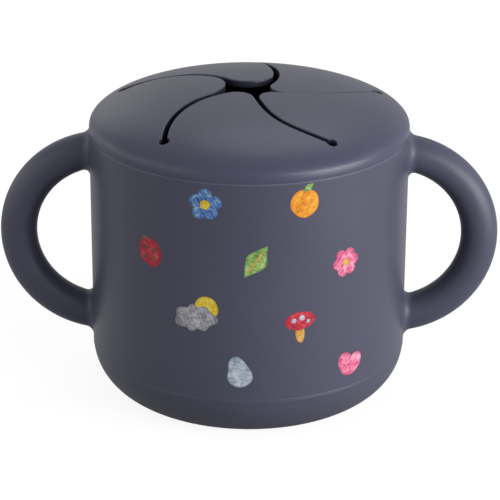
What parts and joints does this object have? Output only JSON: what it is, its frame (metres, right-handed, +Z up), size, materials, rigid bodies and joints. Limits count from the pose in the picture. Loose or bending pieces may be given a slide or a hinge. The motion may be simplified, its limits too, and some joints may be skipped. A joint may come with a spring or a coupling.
{
  "type": "toddler snack container",
  "caption": "Soft two-handled toddler snack cup with a domed slotted lid that lets a small hand in and keeps the snack inside.",
  "frame": {"origin": "centre of the flat base, on the surface it stands on", "axes": "+Z up, front towards -Y, one handle on each side along X"},
  "size_m": [0.1312, 0.0832, 0.0822],
  "materials": {
    "cup_silicone": "matte moulded silicone, slate blue-grey",
    "lid_silicone": "matte moulded silicone, slate grey",
    "printed_ink": "printed ink on silicone"
  },
  "bodies": {
    "cup": {"cup_body": "cup_silicone", "left_handle": "cup_silicone", "right_handle": "cup_silicone"},
    "lid": {"lid_ring": "lid_silicone"},
    "flap_1": {"lid_flap_1": "lid_silicone"},
    "flap_2": {"lid_flap_2": "lid_silicone"},
    "flap_3": {"lid_flap_3": "lid_silicone"},
    "flap_4": {"lid_flap_4": "lid_silicone"},
    "flap_5": {"lid_flap_5": "lid_silicone"}
  },
  "joints": [
    {"name": "lid_lift", "type": "slide", "parent": "cup", "child": "lid", "axis": [0, 0, 1], "range_m": [0, 0.06]},
    {"name": "flap_1_bend", "type": "hinge", "parent": "lid", "child": "flap_1", "pos_m": [0, -0.02928, 0.0781], "axis": [-1, 0, 0], "range_deg": [-35, 60], "stiffness_Nm_per_rad": 0.03},
    {"name": "flap_2_bend", "type": "hinge", "parent": "lid", "child": "flap_2", "pos_m": [0.02784, -0.00905, 0.0781], "axis": [-0.309, -0.9511, 0], "range_deg": [-35, 60], "stiffness_Nm_per_rad": 0.03},
    {"name": "flap_3_bend", "type": "hinge", "parent": "lid", "child": "flap_3", "pos_m": [0.01721, 0.02369, 0.0781], "axis": [0.809, -0.5878, 0], "range_deg": [-35, 60], "stiffness_Nm_per_rad": 0.03},
    {"name": "flap_4_bend", "type": "hinge", "parent": "lid", "child": "flap_4", "pos_m": [-0.01721, 0.02369, 0.0781], "axis": [0.809, 0.5878, 0], "range_deg": [-35, 60], "stiffness_Nm_per_rad": 0.03},
    {"name": "flap_5_bend", "type": "hinge", "parent": "lid", "child": "flap_5", "pos_m": [-0.02784, -0.00905, 0.0781], "axis": [-0.309, 0.9511, 0], "range_deg": [-35, 60], "stiffness_Nm_per_rad": 0.03}
  ]
}
